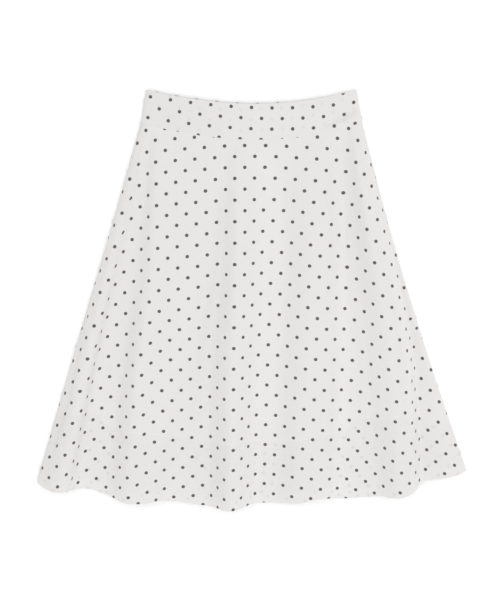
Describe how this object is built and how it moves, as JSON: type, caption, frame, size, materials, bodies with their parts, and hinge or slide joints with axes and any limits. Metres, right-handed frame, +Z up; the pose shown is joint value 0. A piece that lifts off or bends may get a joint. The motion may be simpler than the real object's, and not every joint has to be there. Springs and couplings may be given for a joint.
{
  "type": "flared midi skirt, laid flat",
  "caption": "Flared midi skirt laid flat on its back, shaped waistband, soft folds spreading from the waist seam to a wavy hem.",
  "frame": {"origin": "middle of the skirt's box, on the surface it lies on", "axes": "+Y towards the waist, +X to the viewer's right, +Z up out of the surface, the front panel on top"},
  "size_m": [0.7222, 0.6936, 0.0441],
  "materials": {
    "panel_cloth": "matt off-white woven cloth with small dark grey-brown dots in a half-drop repeat",
    "band_cloth": "the same cloth, doubled and pressed flat"
  },
  "bodies": {
    "root": {"front_panel": "panel_cloth", "back_panel": "panel_cloth", "front_waistband": "band_cloth", "back_waistband": "band_cloth"}
  },
  "joints": []
}
